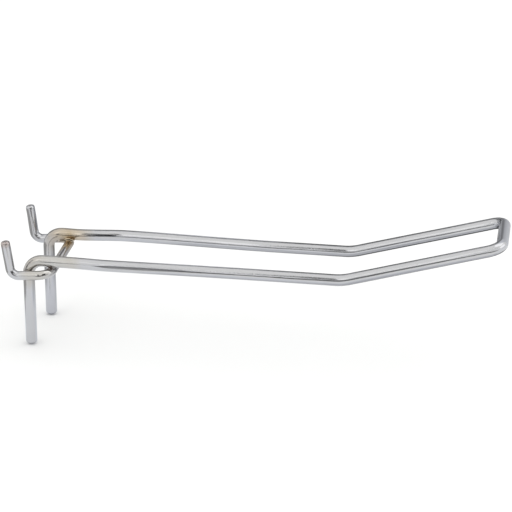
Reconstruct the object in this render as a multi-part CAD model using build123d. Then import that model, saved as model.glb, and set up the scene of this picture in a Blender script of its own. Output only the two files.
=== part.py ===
from build123d import *
import os
from math import cos, radians, sin, sqrt, tan

# Double display hook for a perforated board. A thick wire is bent into one long loop: two prongs that run
# out from the board, rise towards a short tip bar, and turn down at the back into two legs that lean on
# the board. A thinner wire is bent into a U that passes outside the legs and crosses under the prongs,
# and its upturned ends go through the board. The wires are welded where they cross under the prongs.
# Millimetres. X runs out from the board, Y along it, Z up. The origin is on the face of the board,
# midway between the pegs and at the height of their holes.

# Thick loop wire, with bend radii to the middle of the wire
loop_wire_d = 6.0
reach = 250.0  # face of the board to the front of the tip bar
leg_length = 50.5  # top of a prong to the end of its leg
leg_end_chamfer = 1.5
rear_bend_r = 7.5
rise_angle = 16.0
rise_length = 83.0  # corner of the rise bend to the axis of the tip bar
rise_bend_r = 28.0
tip_bend_r = 7.0

# Thin back wire, with bend radii to the middle of the wire
back_wire_d = 4.8
peg_pitch = 50.0  # two steps of a board with holes every 25 mm
peg_length = 19.2  # corner of the peg bend to the tip of the peg
peg_end_chamfer = 0.9
peg_lean = 8.0  # degrees that the pegs lean away from the board
peg_bend_r = 4.2
peg_setback = 8.1  # corner of the peg bend behind the axis of the legs
arm_fall = 4.0  # degrees that the arms fall from the crossbar towards the board
crossbar_lead = 12.1  # crossbar in front of the legs, axis to axis
crossbar_bend_r = 7.0

# How the wires meet
leg_clearance = 0.1  # between a leg and the arm that passes it
weld_set_down = 0.2  # how far a weld has let the crossbar into a prong
weld_collar_r = 2.8

# Places that follow from the sizes above
wire_radii = (loop_wire_d + back_wire_d) / 2
leg_x = loop_wire_d / 2
crossbar_x = leg_x + crossbar_lead
crossbar_z = crossbar_x * tan(radians(arm_fall))
prong_y = peg_pitch / 2 - wire_radii - leg_clearance
prong_z = crossbar_z + wire_radii - weld_set_down
leg_end_z = prong_z + loop_wire_d / 2 - leg_length
tip_x = reach - loop_wire_d / 2
tip_z = prong_z + rise_length * sin(radians(rise_angle))
rise_x = tip_x - rise_length * cos(radians(rise_angle))
peg_y = peg_pitch / 2
peg_x = leg_x - peg_setback
peg_z = peg_x * tan(radians(arm_fall))
peg_tip_x = peg_x - peg_length * sin(radians(peg_lean))
peg_tip_z = peg_z + peg_length * cos(radians(peg_lean))


def bent_wire(half, half_radii, diameter, end_chamfer):
    """Round wire along straight runs and tangent bends, from one half's corners and their mirror image."""
    corners = half + [(x, -y, z) for x, y, z in reversed(half)]
    radii = half_radii + half_radii[::-1]
    path = FilletPolyline(*corners, radius=radii)
    section = Plane(origin=path @ 0, z_dir=path % 0) * Circle(diameter / 2)
    wire = sweep(section, path=path)
    cut_ends = wire.faces().filter_by(GeomType.PLANE)
    return chamfer(cut_ends.edges(), end_chamfer)


def make_back_wire():
    half = [
        (peg_tip_x, -peg_y, peg_tip_z),
        (peg_x, -peg_y, peg_z),
        (crossbar_x, -peg_y, crossbar_z),
    ]
    return bent_wire(half, [peg_bend_r, crossbar_bend_r], back_wire_d, peg_end_chamfer)


def make_loop_wire(back_wire):
    """The loop wire, with the collars of weld metal that hold the back wire in their saddles."""
    half = [
        (leg_x, -prong_y, leg_end_z),
        (leg_x, -prong_y, prong_z),
        (rise_x, -prong_y, prong_z),
        (tip_x, -prong_y, tip_z),
    ]
    wire = bent_wire(half, [rear_bend_r, rise_bend_r, tip_bend_r], loop_wire_d, leg_end_chamfer)
    # Under a prong the crossbar may already be turning into its arm, a little behind its straight run
    into_bend = max(prong_y - (peg_y - crossbar_bend_r), 0)
    weld_x = crossbar_x - crossbar_bend_r + sqrt(crossbar_bend_r**2 - into_bend**2)
    weld_z = prong_z - loop_wire_d / 2
    for side in (-1, 1):
        wire += Pos(weld_x, side * prong_y, weld_z) * Sphere(weld_collar_r)
    return wire - back_wire


back_wire = make_back_wire()
loop_wire = make_loop_wire(back_wire)

os.makedirs("parts", exist_ok=True)
export_step(loop_wire, "parts/loop_wire.step")
export_step(back_wire, "parts/back_wire.step")
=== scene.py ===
from math import acos, cos, exp, pi, radians, sin, sqrt, tan

import bpy
import numpy as np
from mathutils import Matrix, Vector, noise


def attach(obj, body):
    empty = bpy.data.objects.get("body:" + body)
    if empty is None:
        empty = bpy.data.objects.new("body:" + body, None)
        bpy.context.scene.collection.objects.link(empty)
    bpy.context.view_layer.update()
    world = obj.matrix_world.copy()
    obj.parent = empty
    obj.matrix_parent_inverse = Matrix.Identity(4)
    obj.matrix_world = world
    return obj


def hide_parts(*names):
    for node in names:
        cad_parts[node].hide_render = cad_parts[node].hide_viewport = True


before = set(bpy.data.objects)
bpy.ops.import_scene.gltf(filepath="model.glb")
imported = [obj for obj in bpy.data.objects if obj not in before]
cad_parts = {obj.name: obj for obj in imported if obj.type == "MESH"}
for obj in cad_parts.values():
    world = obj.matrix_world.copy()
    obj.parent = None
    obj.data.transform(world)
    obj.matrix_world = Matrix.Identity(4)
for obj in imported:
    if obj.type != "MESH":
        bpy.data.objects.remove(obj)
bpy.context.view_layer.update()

# A chromed double hook, bent from two wires that are welded together. X runs out from the board, Y along it
# and Z up. The wires and welds are worked out in mm. Materials, stage, lights and camera are in metres.
MM = 0.001

# Sizes of the two wires, as in the construction
LOOP_R = 3.0
REACH = 250.0
LEG_LENGTH = 50.5
LEG_CHAMFER = 1.5
REAR_BEND_R = 7.5
RISE_ANGLE = radians(16.0)
RISE_LENGTH = 83.0
RISE_BEND_R = 28.0
TIP_BEND_R = 7.0
BACK_R = 2.4
PEG_Y = 25.0
PEG_LENGTH = 19.2
PEG_LEAN = radians(8.0)
PEG_BEND_R = 4.2
PEG_SETBACK = 8.1
ARM_FALL = radians(4.0)
CROSSBAR_LEAD = 12.1
CROSSBAR_BEND_R = 7.0
LEG_CLEARANCE = 0.1
WELD_SET_DOWN = 0.2

# Places that follow from them
LEG_X = LOOP_R
CROSSBAR_X = LEG_X + CROSSBAR_LEAD
CROSSBAR_Z = CROSSBAR_X * tan(ARM_FALL)
PRONG_Y = PEG_Y - LOOP_R - BACK_R - LEG_CLEARANCE
PRONG_Z = CROSSBAR_Z + LOOP_R + BACK_R - WELD_SET_DOWN
LEG_END_Z = PRONG_Z + LOOP_R - LEG_LENGTH
TIP_X = REACH - LOOP_R
TIP_Z = PRONG_Z + RISE_LENGTH * sin(RISE_ANGLE)
RISE_X = TIP_X - RISE_LENGTH * cos(RISE_ANGLE)
PEG_X = LEG_X - PEG_SETBACK
PEG_Z = PEG_X * tan(ARM_FALL)
PEG_TIP_X = PEG_X - PEG_LENGTH * sin(PEG_LEAN)
PEG_TIP_Z = PEG_Z + PEG_LENGTH * cos(PEG_LEAN)
INTO_BEND = PRONG_Y - (PEG_Y - CROSSBAR_BEND_R)
WELD_X = CROSSBAR_X - CROSSBAR_BEND_R + sqrt(CROSSBAR_BEND_R**2 - INTO_BEND**2)
WELD_Z = PRONG_Z - LOOP_R

# How this one hook strays from those sizes. A pair of places is where a change starts and is complete, and a
# hump is its middle and its spread on either side.
NEAR_BOW = 1.0
NEAR_BOW_HUMP = (44.0, 13.0, 34.0)
FAR_BOW = 2.1
FAR_BOW_OUT = (23.0, 46.0)
FAR_BOW_BACK = (128.0, 49.0)
FAR_PINCH = 0.5
FAR_PINCH_HUMP = (20.0, 6.0, 5.0)
NEAR_LEG_SHIFT = -0.25
NEAR_LEG_FROM = (20.0, 11.0)
FAR_LEG_SHIFT = 0.5
FAR_LEG_FROM = (22.0, 11.0)
TIP_SET_BACK = 0.65
TIP_DROP = 0.5
TIP_FROM = (165.0, 240.0)
BACK_SLOPE = 0.018  # height for each mm across
FAR_PEG_SHIFT = 0.3
FAR_PEG_ZONE = ((3.0, -4.0), (20.0, 24.0), (15.0, 4.0))  # along X, Y and Z

# A long flat, as from a clamp, on the near prong's outer side
FLAT_DEPTH = 0.175
FLAT_TILT = radians(7.0)
FLAT_SPREAD = radians(33.0)
FLAT_START = (41.0, 46.5)
FLAT_END = (110.0, 60.0)

# Depth of the wrinkles inside the tight bends
SHALLOW_WRINKLE = 0.03
FAR_TIP_WRINKLE = 0.09
PEG_WRINKLE = 0.1

# Ends of the wires
PEG_ROUNDING = 1.3
LEG_ROUNDING = 0.35
PEG_FACE_RINGS = (0.75, 0.5, 0.25)
LEG_FACE_RINGS = (0.82, 0.62, 0.42, 0.22)
WORN_LENGTH = 5.5

# Fineness of the wires: points round a ring, and the steps along runs and along bends
AROUND = 72
LOOP_STEPS = (2.0, 0.22)
BACK_STEPS = (1.5, 0.16)


def unit(v):
    return v / np.linalg.norm(v)


def hump(x, middle, before, after):
    """A smooth hump of height 1 at middle, with a spread of its own on each side."""
    return exp(-(((x - middle) / (before if x < middle else after)) ** 2))


def ease(x, start, end):
    """0 before start and 1 after end, with a smooth step between them. It falls where end comes first."""
    t = min(max((x - start) / (end - start), 0.0), 1.0)
    return t * t * (3 - 2 * t)


def loop_stray(place):
    """How far the loop wire strays from its nominal line.

    The prongs bow apart past the welds, the legs are shifted, and the tip's far corner sits back and low.
    """
    x, y, _ = place
    skew = ease(x, *TIP_FROM) * min(max((y + PRONG_Y) / (2 * PRONG_Y), 0.0), 1.0)
    if y < 0:
        bow = -NEAR_BOW * hump(x, *NEAR_BOW_HUMP)
        shift = NEAR_LEG_SHIFT * ease(x, *NEAR_LEG_FROM)
    else:
        bow = FAR_BOW * ease(x, *FAR_BOW_OUT) * ease(x, *FAR_BOW_BACK) - FAR_PINCH * hump(x, *FAR_PINCH_HUMP)
        shift = FAR_LEG_SHIFT * ease(x, *FAR_LEG_FROM)
    return np.array([shift - TIP_SET_BACK * skew, bow, -TIP_DROP * skew])


def back_stray(place):
    """The back wire sits a little askew, with its near side low, and its far peg stands more upright."""
    upright = 1.0
    for value, (start, end) in zip(place, FAR_PEG_ZONE):
        upright *= ease(value, start, end)
    return np.array([-FAR_PEG_SHIFT * upright, 0.0, BACK_SLOPE * place[1]])


def weld_axis(side):
    """The middle of the prong above the near (-1) or the far (1) weld."""
    axis = np.array([WELD_X, side * PRONG_Y, PRONG_Z])
    return axis + loop_stray(axis)


# Wires


def mesh_object(name, verts, faces, smooth=True):
    """A new mesh object in the scene, from points in metres."""
    mesh = bpy.data.meshes.new(name)
    mesh.from_pydata([tuple(v) for v in verts], [], faces)
    mesh.polygons.foreach_set("use_smooth", np.full(len(faces), smooth))
    mesh.update()
    obj = bpy.data.objects.new(name, mesh)
    bpy.context.scene.collection.objects.link(obj)
    return obj


def set_attribute(obj, name, values):
    """A number, or a vector, for each point of an object's mesh."""
    values = np.asarray(values, np.float32)
    kind, key = ("FLOAT", "value") if values.ndim == 1 else ("FLOAT_VECTOR", "vector")
    obj.data.attributes.new(name, kind, "POINT").data.foreach_set(key, values.ravel())


def wire_line(corners, radii, run_step, turn_step):
    """Points along straight runs and tangent bends.

    Each has a place, a direction, the way to the middle of its bend and the bend's radius, or zeros on a run.
    """
    corners = [np.array(c, float) for c in corners]
    last = len(corners) - 1
    line = []
    start = corners[0]
    for i in range(1, len(corners)):
        stop = corners[i]
        if i < last:
            u = unit(corners[i - 1] - corners[i])
            v = unit(corners[i + 1] - corners[i])
            half_open = acos(np.clip(u @ v, -1, 1)) / 2
            setback = radii[i - 1] / tan(half_open)
            stop = corners[i] + u * setback
        run = np.linalg.norm(stop - start)
        direction = unit(stop - start)
        steps = max(int(np.ceil(run / run_step)), 1)
        for k in range(0 if i == 1 else 1, steps + 1):
            line.append((start + direction * run * k / steps, direction, np.zeros(3), 0.0))
        if i == last:
            break
        centre = corners[i] + unit(u + v) * radii[i - 1] / sin(half_open)
        first = unit(stop - centre)
        turn = pi - 2 * half_open
        steps = max(int(np.ceil(turn * radii[i - 1] / turn_step)), 2)
        for k in range(1, steps + 1):
            a = turn * k / steps
            out = first * cos(a) + direction * sin(a)
            along = direction * cos(a) - first * sin(a)
            line.append((centre + out * radii[i - 1], along, -out, radii[i - 1]))
        start = line[-1][0]
    return line


def rounded_end(radius, rounding):
    """The domed end of a peg, as (how far from the end, ring radius), from its flank to its middle."""
    rings = []
    for k in range(9):
        a = radians(90) * k / 8
        rings.append((rounding * (1 - sin(a)), radius - rounding * (1 - cos(a))))
    face = rings[-1][1]
    return rings + [(0.0, face * share) for share in PEG_FACE_RINGS]


def bevelled_end(radius, chamfer, rounding):
    """The bevelled end of a leg, as (how far from the end, ring radius), from its flank to its middle."""
    slant = sqrt(0.5)
    corners = [(chamfer, radius), (0.0, radius - chamfer)]
    ways = [((1.0, 0.0), (-slant, -slant)), ((slant, slant), (0.0, -1.0))]
    rings = []
    for (inset, r), (before, after) in zip(corners, ways):
        for k in range(5):
            t = k / 4
            a, b = (1 - t) ** 2, t**2
            inset_by = rounding * (before[0] * a + after[0] * b)
            out_by = rounding * (before[1] * a + after[1] * b)
            rings.append((inset + inset_by, r + out_by))
    face = rings[-1][1]
    return rings + [(0.0, face * share) for share in LEG_FACE_RINGS]


def wire_mesh(name, half, half_radii, radius, ends, steps, skin, stray_for):
    """A round wire with finished ends, from one half's corners and their mirror image.

    skin says how far the surface stands off the round, and stray_for how far the line strays. The running
    length of each point comes back with the wire.
    """
    corners = half + [(x, -y, z) for x, y, z in reversed(half)]
    line = wire_line(corners, half_radii + half_radii[::-1], *steps)
    place, along, inward, bend_r = (np.array(column) for column in zip(*line))
    run = np.concatenate([[0], np.cumsum(np.linalg.norm(np.diff(place, axis=0), axis=1))])
    stray = np.array([stray_for(p) for p in place])
    along = np.array([unit(way + slope) for way, slope in zip(along, np.gradient(stray, run, axis=0))])
    place = place + stray

    # Directions round each ring, carried along the line without twist
    across = [0.0, 0.0, 1.0] if abs(along[0][2]) < 0.9 else [1.0, 0.0, 0.0]
    side = [unit(np.cross(along[0], across))]
    for way in along[1:]:
        side.append(unit(side[-1] - way * (side[-1] @ way)))
    side = np.array(side)
    other = np.cross(along, side)
    angle = np.arange(AROUND) * 2 * pi / AROUND
    dirs = side[:, None] * np.cos(angle)[:, None] + other[:, None] * np.sin(angle)[:, None]

    # Rings as (centre, directions, radius, run, whether they lie on the cut face)
    trim = ends[0][0]
    cut_r = radius - trim
    clear = trim + 0.05
    rings = [(place[0] + along[0] * s, dirs[0], r, s, r < cut_r) for s, r in reversed(ends)]
    for k in np.flatnonzero((run > clear) & (run < run[-1] - clear)):
        inner = np.clip(dirs[k] @ inward[k], 0, 1)
        stand = [skin(place[k], inner[j], bend_r[k], run[k], angle[j], dirs[k][j]) for j in range(AROUND)]
        rings.append((place[k], dirs[k], radius + np.array(stand), run[k], False))
    rings += [(place[-1] - along[-1] * s, dirs[-1], r, run[-1] - s, r < cut_r) for s, r in ends]

    # Points of all rings, then the middles of both ends
    verts = np.vstack([centre + way * np.reshape(r, (-1, 1)) for centre, way, r, _, _ in rings])
    verts = np.vstack([verts, place[[0, -1]]])
    runs = np.concatenate([np.repeat([s for _, _, _, s, _ in rings], AROUND), [0.0, run[-1]]])
    turns = np.stack([radius * np.cos(angle), radius * np.sin(angle)], axis=-1)
    turns = np.vstack([np.tile(turns, (len(rings), 1)), np.zeros((2, 2))])

    pairs = [(j, (j + 1) % AROUND) for j in range(AROUND)]
    on_cut = [is_cut for *_, is_cut in rings]
    faces, cut = [], []
    for i in range(len(rings) - 1):
        a, b = i * AROUND, (i + 1) * AROUND
        faces += [(a + j, a + k, b + k, b + j) for j, k in pairs]
        cut += [on_cut[i] and on_cut[i + 1]] * AROUND
    last = (len(rings) - 1) * AROUND
    middle = len(rings) * AROUND
    faces += [(k, j, middle) for j, k in pairs]
    faces += [(last + j, last + k, middle + 1) for j, k in pairs]
    cut += [True] * 2 * AROUND

    obj = mesh_object(name, verts * MM, faces)
    obj.data.polygons.foreach_set("material_index", np.array(cut, np.int32))
    set_attribute(obj, "wire_co", np.column_stack([turns, runs]))
    return obj, runs


def wrinkle(depth, inner, s, a):
    """How far a small wrinkle on the inner side of a tight bend stands off the round."""
    if depth == 0 or inner <= 0.15:
        return 0.0
    share = ((inner - 0.15) / 0.85) ** 1.5
    n = noise.noise(Vector((s * 1.5, cos(a) * 2.2, sin(a) * 2.2)))
    n += 0.5 * noise.noise(Vector((s * 3.4, cos(a) * 4.0 + 7.0, sin(a) * 4.0)))
    return -depth * share * (0.45 + n)


def loop_skin(place, inner, bend_r, s, a, out):
    """Wrinkles in the loop's bends, and the flat on the near prong."""
    tip_wrinkle = FAR_TIP_WRINKLE if place[1] > 0 else SHALLOW_WRINKLE
    stand = wrinkle({TIP_BEND_R: tip_wrinkle, REAR_BEND_R: SHALLOW_WRINKLE}.get(bend_r, 0.0), inner, s, a)
    if place[1] < 0 and bend_r == 0 and abs(out[0]) < 0.5:
        off = acos(min(max(-out[1] * cos(FLAT_TILT) + out[2] * sin(FLAT_TILT), -1.0), 1.0))
        if off < FLAT_SPREAD:
            depth = FLAT_DEPTH * ease(place[0], *FLAT_START) * ease(place[0], *FLAT_END)
            stand -= depth * (1 + cos(pi * off / FLAT_SPREAD)) / 2
    return stand


def back_skin(place, inner, bend_r, s, a, out):
    """Wrinkles in the bends of the back wire."""
    return wrinkle({PEG_BEND_R: PEG_WRINKLE, CROSSBAR_BEND_R: SHALLOW_WRINKLE}.get(bend_r, 0.0), inner, s, a)


def make_loop():
    half = [
        (LEG_X, -PRONG_Y, LEG_END_Z),
        (LEG_X, -PRONG_Y, PRONG_Z),
        (RISE_X, -PRONG_Y, PRONG_Z),
        (TIP_X, -PRONG_Y, TIP_Z),
    ]
    radii = [REAR_BEND_R, RISE_BEND_R, TIP_BEND_R]
    ends = bevelled_end(LOOP_R, LEG_CHAMFER, LEG_ROUNDING)
    obj, _ = wire_mesh("loop_wire_chrome", half, radii, LOOP_R, ends, LOOP_STEPS, loop_skin, loop_stray)
    return obj


def make_back():
    half = [
        (PEG_TIP_X, -PEG_Y, PEG_TIP_Z),
        (PEG_X, -PEG_Y, PEG_Z),
        (CROSSBAR_X, -PEG_Y, CROSSBAR_Z),
    ]
    radii = [PEG_BEND_R, CROSSBAR_BEND_R]
    ends = rounded_end(BACK_R, PEG_ROUNDING)
    obj, runs = wire_mesh("back_wire_chrome", half, radii, BACK_R, ends, BACK_STEPS, back_skin, back_stray)
    set_attribute(obj, "worn_tip", np.clip(1 - runs / WORN_LENGTH, 0, 1))
    return obj


# Welds: how far the metal reaches, how softly the wires run into each other, how deep it sits and its lumps
BEAD_ROWS = 72
BEAD_COLS = 144
NEAR_BEAD_REACH = 2.6
NEAR_FILLET = 1.3
NEAR_SUNK = 0.04
NEAR_LUMPS = 0.07
FAR_BEAD_REACH = 3.5
FAR_FILLET = 0.7
FAR_RING_FILLET = 0.15
FAR_SUNK = 0.03
FAR_LUMPS = 0.06
# Rings of metal at the far weld: their distance from the prong and from the crossbar, and their radius
PRONG_RING = (0.08, 0.70, 0.38)
BAR_RING = (0.95, 0.02, 0.30)


def smooth_min(a, b, k):
    h = np.clip(0.5 + 0.5 * (b - a) / k, 0, 1)
    return b * (1 - h) + a * h - k * h * (1 - h)


def from_wires(points, side):
    """How far points lie outside the prong, and outside the crossbar with the start of its bend."""
    axis = weld_axis(side)
    prong = np.hypot(points[:, 1] - axis[1], points[:, 2] - axis[2]) - LOOP_R
    dx = points[:, 0] - (CROSSBAR_X - CROSSBAR_BEND_R)
    dy = side * points[:, 1] - (PEG_Y - CROSSBAR_BEND_R)
    off_line = np.where(dy > 0, np.hypot(dx, dy) - CROSSBAR_BEND_R, points[:, 0] - CROSSBAR_X)
    bar = np.hypot(off_line, points[:, 2] - CROSSBAR_Z - back_stray(axis)[2]) - BACK_R
    return prong, bar


def weld_field(points, side):
    """Below zero inside the weld metal."""
    prong, bar = from_wires(points, side)
    coarse = np.array([noise.noise(Vector(p * 0.9 + side * 3.0)) for p in points])
    lumps = coarse + 0.5 * np.array([noise.noise(Vector(p * 2.1)) for p in points])
    if side < 0:
        return smooth_min(prong, bar, NEAR_FILLET) + NEAR_SUNK + NEAR_LUMPS * lumps
    rings = [np.hypot(prong - a, bar - b) - r for a, b, r in (PRONG_RING, BAR_RING)]
    joined = smooth_min(smooth_min(prong, bar, FAR_FILLET), np.minimum(*rings), FAR_RING_FILLET)
    return joined + FAR_SUNK + FAR_LUMPS * lumps


def weld_bead(name, side):
    """Fused metal between a prong and the crossbar: the outside of both wires run into each other."""
    rows, cols = BEAD_ROWS, BEAD_COLS
    centre = weld_axis(side) - np.array([0.0, 0.0, LOOP_R - 0.1])
    polar = np.linspace(0, pi, rows + 1)[1:-1, None]
    turn = np.arange(cols) * 2 * pi / cols
    level = np.ones(cols)
    dirs = np.stack([np.sin(polar) * np.cos(turn), np.sin(polar) * np.sin(turn), np.cos(polar) * level], -1)
    dirs = np.vstack([[0.0, 0.0, 1.0], dirs.reshape(-1, 3), [0.0, 0.0, -1.0]])

    # The surface along each direction, by halving
    low = np.full(len(dirs), 0.2)
    high = np.full(len(dirs), NEAR_BEAD_REACH if side < 0 else FAR_BEAD_REACH)
    for _ in range(14):
        mid = (low + high) / 2
        inside = weld_field(centre + dirs * mid[:, None], side) < 0
        low, high = np.where(inside, mid, low), np.where(inside, high, mid)
    points = centre + dirs * low[:, None]

    faces = []
    last = 1 + (rows - 2) * cols
    for j in range(cols):
        k = (j + 1) % cols
        faces += [(0, 1 + j, 1 + k), (last + k, last + j, len(dirs) - 1)]
        for i in range(rows - 2):
            a, b = 1 + i * cols, 1 + (i + 1) * cols
            faces.append((a + j, b + j, b + k, a + k))
    obj = mesh_object(name, points * MM, faces)
    prong, bar = from_wires(points, side)
    set_attribute(obj, "from_crease", prong - bar)
    return obj


loop = make_loop()
back = make_back()
beads = [weld_bead("weld_bead_near", -1), weld_bead("weld_bead_far", 1)]


# Materials


def material(name):
    mat = bpy.data.materials.new(name)
    mat.use_nodes = True
    tree = mat.node_tree
    for n in list(tree.nodes):
        tree.nodes.remove(n)
    out = tree.nodes.new("ShaderNodeOutputMaterial")
    shader = tree.nodes.new("ShaderNodeBsdfPrincipled")
    tree.links.new(shader.outputs["BSDF"], out.inputs["Surface"])
    return mat, tree, shader


def node(tree, kind, inputs=None, **props):
    """A new node. An input is a value, or another node's socket to link."""
    n = tree.nodes.new(kind)
    for key, value in props.items():
        setattr(n, key, value)
    for key, value in (inputs or {}).items():
        if isinstance(value, bpy.types.NodeSocket):
            tree.links.new(value, n.inputs[key])
        else:
            n.inputs[key].default_value = value
    return n


def calc(tree, operation, a, b=0.0):
    return node(tree, "ShaderNodeMath", {0: a, 1: b}, operation=operation).outputs[0]


def remap(tree, value, start, end, low, high, interpolation="LINEAR"):
    inputs = {"Value": value, "From Min": start, "From Max": end, "To Min": low, "To Max": high}
    return node(tree, "ShaderNodeMapRange", inputs, interpolation_type=interpolation).outputs["Result"]


def fade(tree, value, start, end, low=0.0, high=1.0):
    """A smooth step from low to high."""
    return remap(tree, value, start, end, low, high, "SMOOTHSTEP")


def zone(tree, *fades):
    """Smooth steps multiplied, each given by a coordinate and where its step starts and is complete."""
    steps = [fade(tree, value, start, end) for value, (start, end) in fades]
    share = steps[0]
    for step in steps[1:]:
        share = calc(tree, "MULTIPLY", share, step)
    return share


def ramp(tree, value, stops):
    n = node(tree, "ShaderNodeValToRGB", {"Fac": value})
    while len(n.color_ramp.elements) < len(stops):
        n.color_ramp.elements.new(0.5)
    for element, (position, colour) in zip(n.color_ramp.elements, stops):
        element.position = position
        element.color = (*colour, 1.0)
    return n.outputs["Color"]


def mix(tree, factor, a, b, blend="MIX"):
    a, b = (v if isinstance(v, bpy.types.NodeSocket) else (*v, 1.0) for v in (a, b))
    return node(tree, "ShaderNodeMix", {0: factor, 6: a, 7: b}, data_type="RGBA", blend_type=blend).outputs[2]


def noise_tex(tree, vector, scale, detail=2.0, roughness=0.5):
    inputs = {"Vector": vector, "Scale": scale, "Detail": detail, "Roughness": roughness}
    return node(tree, "ShaderNodeTexNoise", inputs).outputs["Fac"]


def attribute(tree, name, output="Fac"):
    return node(tree, "ShaderNodeAttribute", attribute_name=name).outputs[output]


def stretched(tree, vector, factors):
    return node(tree, "ShaderNodeVectorMath", {0: vector, 1: factors}, operation="MULTIPLY").outputs["Vector"]


def relief(tree, height, strength, distance, normal=None):
    """A bumpy normal, on top of another one where that is given."""
    inputs = {"Strength": strength, "Distance": distance, "Height": height}
    if normal is not None:
        inputs["Normal"] = normal
    return node(tree, "ShaderNodeBump", inputs).outputs["Normal"]


# Colours of the plating by distance from a weld in mm: at the far weld burnt in the crease, then gold, straw
# and bare chrome; at the near weld near black in the crease, a painted shade under the prong, then a faint
# warm tint and bare chrome
CHROME = (0.545, 0.550, 0.575)
HEAT_REACH = 20.0
FAR_HEAT = [
    (2.4, (0.16, 0.11, 0.07)),
    (3.2, (0.32, 0.24, 0.15)),
    (4.4, (0.43, 0.345, 0.235)),
    (5.6, (0.52, 0.45, 0.36)),
    (7.0, (0.555, 0.49, 0.405)),
    (9.0, (0.54, 0.49, 0.43)),
    (11.5, (0.53, 0.51, 0.49)),
    (15.0, CHROME),
]
# Near black within 2 mm is painted shade in the crease between the prong and the arm
NEAR_HEAT_AND_CREASE_SHADE = [
    (1.5, (0.05, 0.035, 0.03)),
    (1.9, (0.16, 0.12, 0.10)),
    (2.3, (0.40, 0.37, 0.35)),
    (2.9, (0.54, 0.535, 0.53)),
    (9.0, (0.535, 0.525, 0.51)),
    (13.0, (0.53, 0.515, 0.495)),
    (18.0, CHROME),
]

# Colours of the far weld's metal from the prong (0) over the crease (0.5) to the crossbar (1): heat brown at
# both ends, cream bands that are painted highlights on the rims of the collar and of the crossbar, and black
# between them, a painted shade in the crease
FAR_BEAD_LIGHT_AND_SHADE = [
    (0.05, (0.36, 0.27, 0.17)),
    (0.18, (0.82, 0.72, 0.56)),
    (0.34, (0.82, 0.72, 0.56)),
    (0.41, (0.03, 0.02, 0.015)),
    (0.62, (0.03, 0.02, 0.015)),
    (0.70, (0.85, 0.76, 0.62)),
    (0.86, (0.85, 0.76, 0.62)),
    (0.96, (0.30, 0.22, 0.14)),
]
FAR_BEAD_SPAN = (-1.1, 1.3)  # nearer to the prong and nearer to the crossbar, in mm
# Colours of the near weld's metal from below to above: plating grey, then darker to near black at the top, a
# painted shade in the crease under the prong
NEAR_BEAD_AND_SHADE = [
    (0.05, (0.54, 0.535, 0.53)),
    (0.52, (0.50, 0.48, 0.47)),
    (0.63, (0.12, 0.085, 0.065)),
    (0.90, (0.04, 0.03, 0.025)),
    (1.0, (0.20, 0.16, 0.14)),
]
NEAR_BEAD_SPAN = ((WELD_Z - 1.5) * MM, (WELD_Z + 1.0) * MM)

# Tints, and where each starts and is complete: along X, off the middle, up Z
FAR_SIDE = (-0.004, 0.004)
NEAR_BEIGE = (0.92, 0.905, 0.89)
FAR_BEIGE = (0.865, 0.86, 0.855)
REAR_BENDS = ((0.015, 0.006), (0.0230, 0.0226), (-0.010, 0.0))
WARM = (1.04, 1.0, 0.945)
BETWEEN_PRONGS = ((0.030, 0.020), (0.0165, 0.0150))
PATCHES = [(0.3, (0.96, 0.965, 0.97)), (0.7, (1.0, 1.0, 1.0))]
COPPER = [(0.29, (0.27, 0.14, 0.12)), (0.37, (0.47, 0.425, 0.415)), (0.7, (0.51, 0.485, 0.48))]
SHEARED = [(0.30, (0.30, 0.24, 0.22)), (0.45, (0.47, 0.44, 0.43)), (0.7, (0.53, 0.52, 0.52))]
# The scuffed flat: its start and end along X, and its side
SCUFF_START = (0.040, 0.047)
SCUFF_END = (0.110, 0.060)
SCUFF_SIDE = (-0.0210, -0.0218)
SCUFF_ROUGHNESS = 0.12
WORN_ROUGHNESS = 0.2


def heat_and_shade_colour(tree, where, far_share, drift):
    """Heat colours round each weld, the near one's on the near side; next to the near weld it is painted
    shade of the crease under the prong.
    """
    heat_and_shade_ramps = []
    for side, stops in ((-1, NEAR_HEAT_AND_CREASE_SHADE), (1, FAR_HEAT)):
        weld = tuple((weld_axis(side) - np.array([0.0, 0.0, LOOP_R])) * MM)
        apart = node(tree, "ShaderNodeVectorMath", {0: where, 1: weld}, operation="DISTANCE").outputs["Value"]
        share = remap(tree, calc(tree, "ADD", apart, drift), 0.0, HEAT_REACH * MM, 0.0, 1.0)
        heat_and_shade_ramps.append(ramp(tree, share, [(d / HEAT_REACH, colour) for d, colour in stops]))
    return mix(tree, far_share, *heat_and_shade_ramps)


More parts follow.
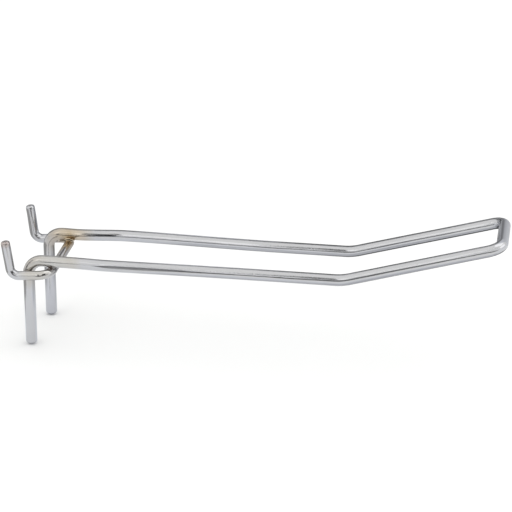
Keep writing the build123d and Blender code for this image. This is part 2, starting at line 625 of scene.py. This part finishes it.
def chrome_material(name, bead_side=0):
    """The plating of the wires, or of the metal of the near (-1) or the far (1) weld, with painted shade in
    the near weld's crease and painted highlights and shade on the far weld.
    """
    mat, tree, shader = material(name)
    shader.inputs["Metallic"].default_value = 1.0
    where = node(tree, "ShaderNodeTexCoord").outputs["Object"]
    split = node(tree, "ShaderNodeSeparateXYZ", {0: where})
    along, across, height = (split.outputs[axis] for axis in "XYZ")
    off_middle = calc(tree, "ABSOLUTE", across)
    far_share = fade(tree, across, *FAR_SIDE)
    cloud = noise_tex(tree, where, 180.0)

    def drift(amount):
        return remap(tree, cloud, 0.3, 0.7, -amount, amount)

    # Heat colours round the welds, with painted shade in the near weld's crease
    colour = heat_and_shade_colour(tree, where, far_share, drift(0.0007))
    # The rear bends have gone a dull beige, the far one more so
    beige = mix(tree, far_share, NEAR_BEIGE, FAR_BEIGE)
    rear = zone(tree, *zip((along, off_middle, height), REAR_BENDS))
    colour = mix(tree, rear, colour, beige, "MULTIPLY")
    # The near weld's metal goes to near black at the top: painted shade in the crease under the prong
    if bead_side < 0:
        rise = remap(tree, height, *NEAR_BEAD_SPAN, 0.0, 1.0)
        colour = ramp(tree, calc(tree, "ADD", rise, drift(0.06)), NEAR_BEAD_AND_SHADE)
    # The far weld's metal: painted highlights on the rims of its collar and crossbar, painted shade in the
    # crease between them
    if bead_side > 0:
        crease = remap(tree, attribute(tree, "from_crease"), *FAR_BEAD_SPAN, 0.0, 1.0)
        colour = ramp(tree, calc(tree, "ADD", crease, drift(0.03)), FAR_BEAD_LIGHT_AND_SHADE)
    # Between the prongs the crossbar is a little warmer
    between = zone(tree, *zip((along, off_middle), BETWEEN_PRONGS))
    colour = mix(tree, between, colour, WARM, "MULTIPLY")
    colour = mix(tree, 1.0, colour, ramp(tree, noise_tex(tree, where, 90.0), PATCHES), "MULTIPLY")
    # The tip of the near peg is worn to a coppery pink, with small dark spots
    spots = noise_tex(tree, where, 1000.0, roughness=0.6)
    worn = calc(tree, "ADD", attribute(tree, "worn_tip"), calc(tree, "MULTIPLY", spots, 0.3))
    worn = fade(tree, worn, 0.50, 0.85)
    colour = mix(tree, worn, colour, ramp(tree, spots, COPPER))
    tree.links.new(colour, shader.inputs["Base Color"])

    # Marks of the drawing die run along the wires
    if bead_side:
        marks = noise_tex(tree, where, 900.0, 3.0, 0.6)
        swell = noise_tex(tree, where, 300.0)
    else:
        wire_co = attribute(tree, "wire_co", "Vector")
        marks = noise_tex(tree, stretched(tree, wire_co, (1.0, 1.0, 0.018)), 2.6, 4.0, 0.6)
        swell = noise_tex(tree, stretched(tree, wire_co, (0.5, 0.5, 0.05)), 0.6, roughness=0.4)
    skin = noise_tex(tree, where, 700.0)

    scuff = zone(tree, (along, SCUFF_START), (along, SCUFF_END), (across, SCUFF_SIDE))
    rough = fade(tree, marks, 0.3, 0.75, 0.06, 0.14)
    rough = calc(tree, "ADD", rough, calc(tree, "MULTIPLY", worn, WORN_ROUGHNESS))
    rough = calc(tree, "ADD", rough, calc(tree, "MULTIPLY", scuff, SCUFF_ROUGHNESS))
    tree.links.new(rough, shader.inputs["Roughness"])

    normal = relief(tree, marks, 0.04, 0.0004)
    normal = relief(tree, skin, 0.02, 0.0006, normal)
    normal = relief(tree, swell, 0.05, 0.002, normal)
    tree.links.new(normal, shader.inputs["Normal"])
    return mat


def cut_material():
    """Bare sheared metal on the ends of the wires."""
    mat, tree, shader = material("sheared_end")
    shader.inputs["Metallic"].default_value = 1.0
    where = node(tree, "ShaderNodeTexCoord").outputs["Object"]
    spots = noise_tex(tree, where, 1100.0, 3.0, 0.6)
    tree.links.new(ramp(tree, spots, SHEARED), shader.inputs["Base Color"])
    tree.links.new(fade(tree, spots, 0.3, 0.7, 0.42, 0.22), shader.inputs["Roughness"])
    tree.links.new(relief(tree, spots, 0.25, 0.0003), shader.inputs["Normal"])
    return mat


chrome = chrome_material("chrome_plated_wire")
cut_end = cut_material()
for piece in (loop, back):
    piece.data.materials.append(chrome)
    piece.data.materials.append(cut_end)
for piece, side in zip(beads, (-1, 1)):
    piece.data.materials.append(chrome_material(piece.name.replace("bead", "metal"), side))

for piece in (loop, back, *beads):
    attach(piece, "root")
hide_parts("loop_wire")
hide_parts("back_wire")


# Stage: a white bowl of floor and backdrop, and matt cards that only the chrome reflects

FLOOR_Z = LEG_END_Z * MM
CARD_Z = FLOOR_Z + 0.0005
FLOOR_R = 2.2
FLOOR_COLOUR = (0.895, 0.905, 0.925)
SWEEP_R = 1.0
SWEEP_ANGLE = 75
BACK_Y = 0.15
MIDDLE_X = REACH / 2 * MM


def matt_shader(name):
    mat, tree, shader = material(name)
    shader.inputs["Roughness"].default_value = 0.9
    shader.inputs["Specular IOR Level"].default_value = 0.0
    return mat, tree, shader.inputs["Base Color"]


def matt(name, colour):
    mat, _, base = matt_shader(name)
    base.default_value = (*colour, 1.0)
    return mat


def painted(name, paint):
    """A matt material that paint colours, from its tree and its coordinates by axis."""
    mat, tree, base = matt_shader(name)
    where = node(tree, "ShaderNodeTexCoord").outputs["Object"]
    split = node(tree, "ShaderNodeSeparateXYZ", {0: where})
    tree.links.new(paint(tree, {axis: split.outputs[axis] for axis in "XYZ"}), base)
    return mat


def greys(tree, value, stops, tint=(1.0, 1.0, 1.0)):
    """A grey that follows one coordinate: (place, grey) from low to high."""
    low, high = stops[0][0], stops[-1][0]
    share = remap(tree, value, low, high, 0.0, 1.0)
    return ramp(tree, share, [((v - low) / (high - low), tuple(g * t for t in tint)) for v, g in stops])


def make_floor(steps=128):
    profile = [(0.4, FLOOR_Z), (1.0, FLOOR_Z), (FLOOR_R, FLOOR_Z)]
    for k in range(1, 13):
        a = radians(SWEEP_ANGLE) * k / 12
        profile.append((FLOOR_R + SWEEP_R * sin(a), FLOOR_Z + SWEEP_R * (1 - cos(a))))
    verts = [(0.0, 0.0, FLOOR_Z)]
    for r, z in profile:
        verts += [(r * cos(2 * pi * k / steps), r * sin(2 * pi * k / steps), z) for k in range(steps)]
    faces = []
    for j in range(steps):
        k = (j + 1) % steps
        faces.append((0, 1 + j, 1 + k))
        for i in range(len(profile) - 1):
            a, b = 1 + i * steps, 1 + (i + 1) * steps
            faces.append((a + j, b + j, b + k, a + k))
    floor = mesh_object("floor", verts, faces)
    floor.data.materials.append(matt("white_floor", FLOOR_COLOUR))


def card(name, row, next_row, mat):
    """A card between two rows of points that shows only in reflections."""
    n = len(row)
    faces = [(k, k + 1, n + k + 1, n + k) for k in range(n - 1)]
    obj = mesh_object(name, row + next_row, faces, smooth=False)
    obj.data.materials.append(mat)
    obj.visible_camera = False
    obj.visible_diffuse = False
    obj.visible_shadow = False


def wall_card(name, y, x_span, z_span, mat):
    card(name, *[[(x, y, z) for x in x_span] for z in z_span], mat)


def floor_card(name, x_span, y_span, mat):
    card(name, *[[(x, y, CARD_Z) for x in x_span] for y in y_span], mat)


def arc(centre, radius, angles, heights):
    """Points round a centre, at angles in degrees from -Y towards +X."""
    x, y = centre
    return [(x + radius * sin(radians(a)), y - radius * cos(radians(a)), z) for a, z in zip(angles, heights)]


def curved_card(name, centre, radius, angles, z_span, mat):
    """An upright card along a part of a circle."""
    turns = np.linspace(*angles)
    card(name, *[arc(centre, radius, turns, [z] * len(turns)) for z in z_span], mat)


# The table on the camera's side is darker towards its edge, which stands higher towards the tip
TABLE_NEAR_R = 0.13
TABLE_EDGE_R = 0.65
TABLE_LEFT = [(-0.65, 0.18), (-0.24, 0.20), (-0.205, 0.42), (-0.188, 0.80), (-0.172, 0.92)]
TABLE_RIGHT = [(-0.65, 0.15), (-0.52, 0.17), (-0.42, 0.38), (-0.33, 0.66), (-0.26, 0.82), (-0.20, 0.92)]
TABLE_SPLIT = (0.10, 0.15)
HORIZON_Z = 0.074
HORIZON_RISE = 0.120
HORIZON_RISE_FROM = (-8, 0)


def table_paint(tree, at):
    left, right = (greys(tree, at["Y"], stops) for stops in (TABLE_LEFT, TABLE_RIGHT))
    return mix(tree, fade(tree, at["X"], *TABLE_SPLIT), left, right)


def make_table():
    mat = painted("table_card", table_paint)
    near_angles = np.linspace(-38, 65, 61)
    angles = np.linspace(-25, 65, 61)
    level = [CARD_Z] * len(angles)
    tops = [HORIZON_Z + HORIZON_RISE * ease(a, *HORIZON_RISE_FROM) for a in angles]
    middle = (MIDDLE_X, 0.0)
    edge = arc(middle, TABLE_EDGE_R, angles, level)
    card("table_card", arc(middle, TABLE_NEAR_R, near_angles, level), edge, mat)
    card("horizon_card", edge, arc(middle, TABLE_EDGE_R, angles, tops), mat)


# Things in the room on the camera's side
BLACK = (0.03, 0.03, 0.032)
WHITE = (0.95, 0.95, 0.94)
RIGHT_MIDDLE = (0.012, 0.0)
RIGHT_ANGLES = (26, 54, 9)  # the first, the last and how many points
SCREEN_MIDDLE = (0.242, -0.02)
SCREEN_ANGLES = (-25, 60, 18)
HIGH_GREYS = [(-0.31, 0.97), (-0.27, 0.55), (-0.225, 0.12), (-0.19, 0.03), (-0.08, 0.03)]
RISE_GREYS = [(0.128, 0.95), (0.136, 0.60), (0.143, 0.34), (0.195, 0.30)]


def high_paint(tree, at):
    return greys(tree, at["X"], HIGH_GREYS)


def rise_paint(tree, at):
    return greys(tree, at["X"], RISE_GREYS)


def make_room():
    black = matt("black_card", BLACK)
    white = matt("white_card", WHITE)
    # Dark ones: one high up, one low down, and one to the right
    high = painted("high_card", high_paint)
    wall_card("high_card", y=-2.0, x_span=(-0.31, -0.08), z_span=(0.98, 2.8), mat=high)
    wall_card("low_card", y=-2.0, x_span=(-0.04, 0.20), z_span=(0.07, 1.68), mat=black)
    curved_card("right_card", RIGHT_MIDDLE, 1.0, RIGHT_ANGLES, z_span=(0.20, 0.95), mat=black)
    # A white screen keeps the one to the right out of the tip's reflections
    curved_card("white_screen", SCREEN_MIDDLE, 0.15, SCREEN_ANGLES, z_span=(0.046, 0.30), mat=white)
    # Another one keeps the front softbox out of the near prong's start
    wall_card("rear_screen", y=-1.2, x_span=(-0.60, -0.33), z_span=(0.40, 1.20), mat=white)
    # A low grey one nearby that only the rising prongs reflect
    rise = painted("rise_card", rise_paint)
    wall_card("rise_card", y=-0.12, x_span=(0.128, 0.195), z_span=(0.018, 0.046), mat=rise)


# The wall behind has light and dark things low down, and is dark at mid height
WALL_TINT = (0.98, 0.995, 1.045)
WALL_LOW = [
    (-0.25, 0.45),
    (-0.07, 0.32),
    (-0.045, 0.52),
    (-0.03, 0.50),
    (-0.01, 0.15),
    (0.018, 0.15),
    (0.045, 0.80),
    (0.07, 0.80),
    (0.085, 0.56),
    (0.105, 0.50),
    (0.12, 0.15),
    (0.175, 0.15),
    (0.188, 0.48),
    (0.203, 0.25),
    (0.222, 0.25),
    (0.26, 0.56),
    (0.30, 0.68),
    (0.36, 0.80),
    (0.42, 0.80),
]
WALL_BY_BENDS = [(0.08, 0.60), (0.16, 0.60), (0.25, 0.75), (0.40, 0.95)]
WALL_BY_PRONGS = [(0.08, 0.29), (0.16, 0.29), (0.25, 0.60), (0.40, 0.95)]
WALL_BY_TIP = [(0.08, 0.62), (0.125, 0.72), (0.40, 0.95)]
WALL_TIP_TINT = (0.98, 1.0, 1.045)
WALL_BENDS_TO_PRONGS = (-0.01, 0.06)
WALL_PRONGS_TO_TIP = (0.215, 0.250)
WALL_LOW_TO_HIGH = (0.095, 0.125)


def wall_paint(tree, at):
    low = greys(tree, at["X"], WALL_LOW, WALL_TINT)
    by_bends = greys(tree, at["Z"], WALL_BY_BENDS)
    by_prongs = greys(tree, at["Z"], WALL_BY_PRONGS)
    by_tip = greys(tree, at["Z"], WALL_BY_TIP, WALL_TIP_TINT)
    high = mix(tree, fade(tree, at["X"], *WALL_BENDS_TO_PRONGS), by_bends, by_prongs)
    high = mix(tree, fade(tree, at["X"], *WALL_PRONGS_TO_TIP), high, by_tip)
    return mix(tree, fade(tree, at["Z"], *WALL_LOW_TO_HIGH), low, high)


# The ground is bluish and differs by the legs, under the level prongs and under the rise. Its greys along Y
# are a painted shadow of the hook, darker beneath and behind it, that only the chrome reflects
GROUND_TINT = (0.965, 0.985, 1.04)
GROUND_LEFT = (0.42, 0.42, 0.42)
GROUND_LEFT_TO_LEGS = (-0.06, -0.02)
GROUND_LEGS_TO_PRONGS = (0.04, 0.075)
GROUND_PRONGS_TO_RISE = (0.12, 0.19)
DIM = (0.45, 0.445, 0.44)
GROUND_SHADOW_BY_LEGS = [(-0.045, 0.97), (-0.01, 0.93), (0.02, 0.88), (0.05, 0.68), (0.10, 0.52), (BACK_Y, 0.45)]
GROUND_SHADOW_BY_PRONGS = [
    (-0.075, 0.95),
    (-0.045, 0.84),
    (-0.033, 0.76),
    (-0.016, 0.68),
    (0.006, 0.74),
    (0.022, 0.62),
    (0.05, 0.36),
    (BACK_Y, 0.30),
]
GROUND_SHADOW_BY_RISE = [
    (-0.075, 0.87),
    (-0.056, 0.76),
    (-0.043, 0.70),
    (-0.034, 0.60),
    (-0.025, 0.53),
    (-0.016, 0.64),
    (0.003, 0.71),
    (0.022, 0.17),
    (0.06, 0.05),
    (0.078, 0.10),
    (0.10, 0.50),
    (BACK_Y, 0.55),
]


# Painted shadow of the hook on the ground, seen only in the chrome
def ground_shadow_paint(tree, at):
    by_legs = greys(tree, at["Y"], GROUND_SHADOW_BY_LEGS, GROUND_TINT)
    by_prongs = greys(tree, at["Y"], GROUND_SHADOW_BY_PRONGS, GROUND_TINT)
    by_rise = greys(tree, at["Y"], GROUND_SHADOW_BY_RISE, GROUND_TINT)
    colour = mix(tree, fade(tree, at["X"], *GROUND_LEFT_TO_LEGS), GROUND_LEFT, by_legs)
    colour = mix(tree, fade(tree, at["X"], *GROUND_LEGS_TO_PRONGS), colour, by_prongs)
    return mix(tree, fade(tree, at["X"], *GROUND_PRONGS_TO_RISE), colour, by_rise)


def make_surroundings():
    wall = painted("back_card", wall_paint)
    wall_card("back_card", y=BACK_Y, x_span=(-0.25, 0.42), z_span=(FLOOR_Z, 0.40), mat=wall)
    # The ground cards carry the painted shadow of the hook
    ground = painted("ground_card", ground_shadow_paint)
    floor_card("ground_card", x_span=(-0.25, 0.30), y_span=(-0.02, BACK_Y), mat=ground)
    floor_card("prong_ground_card", x_span=(0.055, 0.30), y_span=(-0.075, -0.02), mat=ground)
    dim = matt("dim_card", DIM)
    floor_card("left_card", x_span=(-0.25, -0.06), y_span=(-0.08, -0.02), mat=dim)


make_floor()
make_table()
make_room()
make_surroundings()


# Light: an even, slightly warm dome, a little dimmer towards the horizon, and three softboxes

DOME = [
    (0.0, (0.80, 0.79, 0.77)),
    (0.25, (0.93, 0.92, 0.89)),
    (0.6, (1.0, 0.99, 0.955)),
    (1.0, (1.0, 0.99, 0.955)),
]
DOME_STRENGTH = 1.12
SOFTBOX_DISTANCE = 2.0


def make_dome():
    world = bpy.data.worlds.new("studio")
    bpy.context.scene.world = world
    world.use_nodes = True
    tree = world.node_tree
    background = tree.nodes["Background"]
    direction = node(tree, "ShaderNodeTexCoord").outputs["Generated"]
    height = node(tree, "ShaderNodeSeparateXYZ", {0: direction}).outputs["Z"]
    tree.links.new(ramp(tree, height, DOME), background.inputs["Color"])
    background.inputs["Strength"].default_value = DOME_STRENGTH


def softbox(name, direction, width, height, watts):
    data = bpy.data.lights.new(name, "AREA")
    data.shape = "RECTANGLE"
    data.size = width
    data.size_y = height
    data.energy = watts
    obj = bpy.data.objects.new(name, data)
    bpy.context.scene.collection.objects.link(obj)
    aim = Vector((MIDDLE_X, 0.0, 0.0))
    obj.location = aim + Vector(direction).normalized() * SOFTBOX_DISTANCE
    obj.rotation_mode = "QUATERNION"
    obj.rotation_quaternion = (obj.location - aim).to_track_quat("Z", "Y")
    obj.visible_camera = False


make_dome()
softbox("front_softbox", (-0.40, -0.72, 0.56), 1.2, 0.9, 1.2)
softbox("side_softbox", (0.42, 0.18, 0.88), 1.5, 1.5, 3.6)
softbox("right_softbox", (0.93, 0.02, 0.36), 1.4, 0.8, 2.0)


# Camera, at the photo's angle

AZIMUTH = radians(9.546)
ELEVATION = radians(22.471)
DISTANCE = 1.150
TARGET = Vector((0.119411, 0.0, 0.007460 + CROSSBAR_Z * MM))
FOCAL_PX = 2215.3
IMAGE_PX = 512
SENSOR_WIDTH = 36.0


def make_camera():
    data = bpy.data.cameras.new("camera")
    data.sensor_width = SENSOR_WIDTH
    data.lens = FOCAL_PX / IMAGE_PX * SENSOR_WIDTH
    camera = bpy.data.objects.new("camera", data)
    bpy.context.scene.collection.objects.link(camera)
    back_way = Vector((sin(AZIMUTH) * cos(ELEVATION), -cos(AZIMUTH) * cos(ELEVATION), sin(ELEVATION)))
    camera.location = TARGET + back_way * DISTANCE
    camera.rotation_mode = "QUATERNION"
    camera.rotation_quaternion = (-back_way).to_track_quat("-Z", "Y")
    bpy.context.scene.camera = camera


make_camera()
bpy.context.scene.view_settings.view_transform = "Standard"
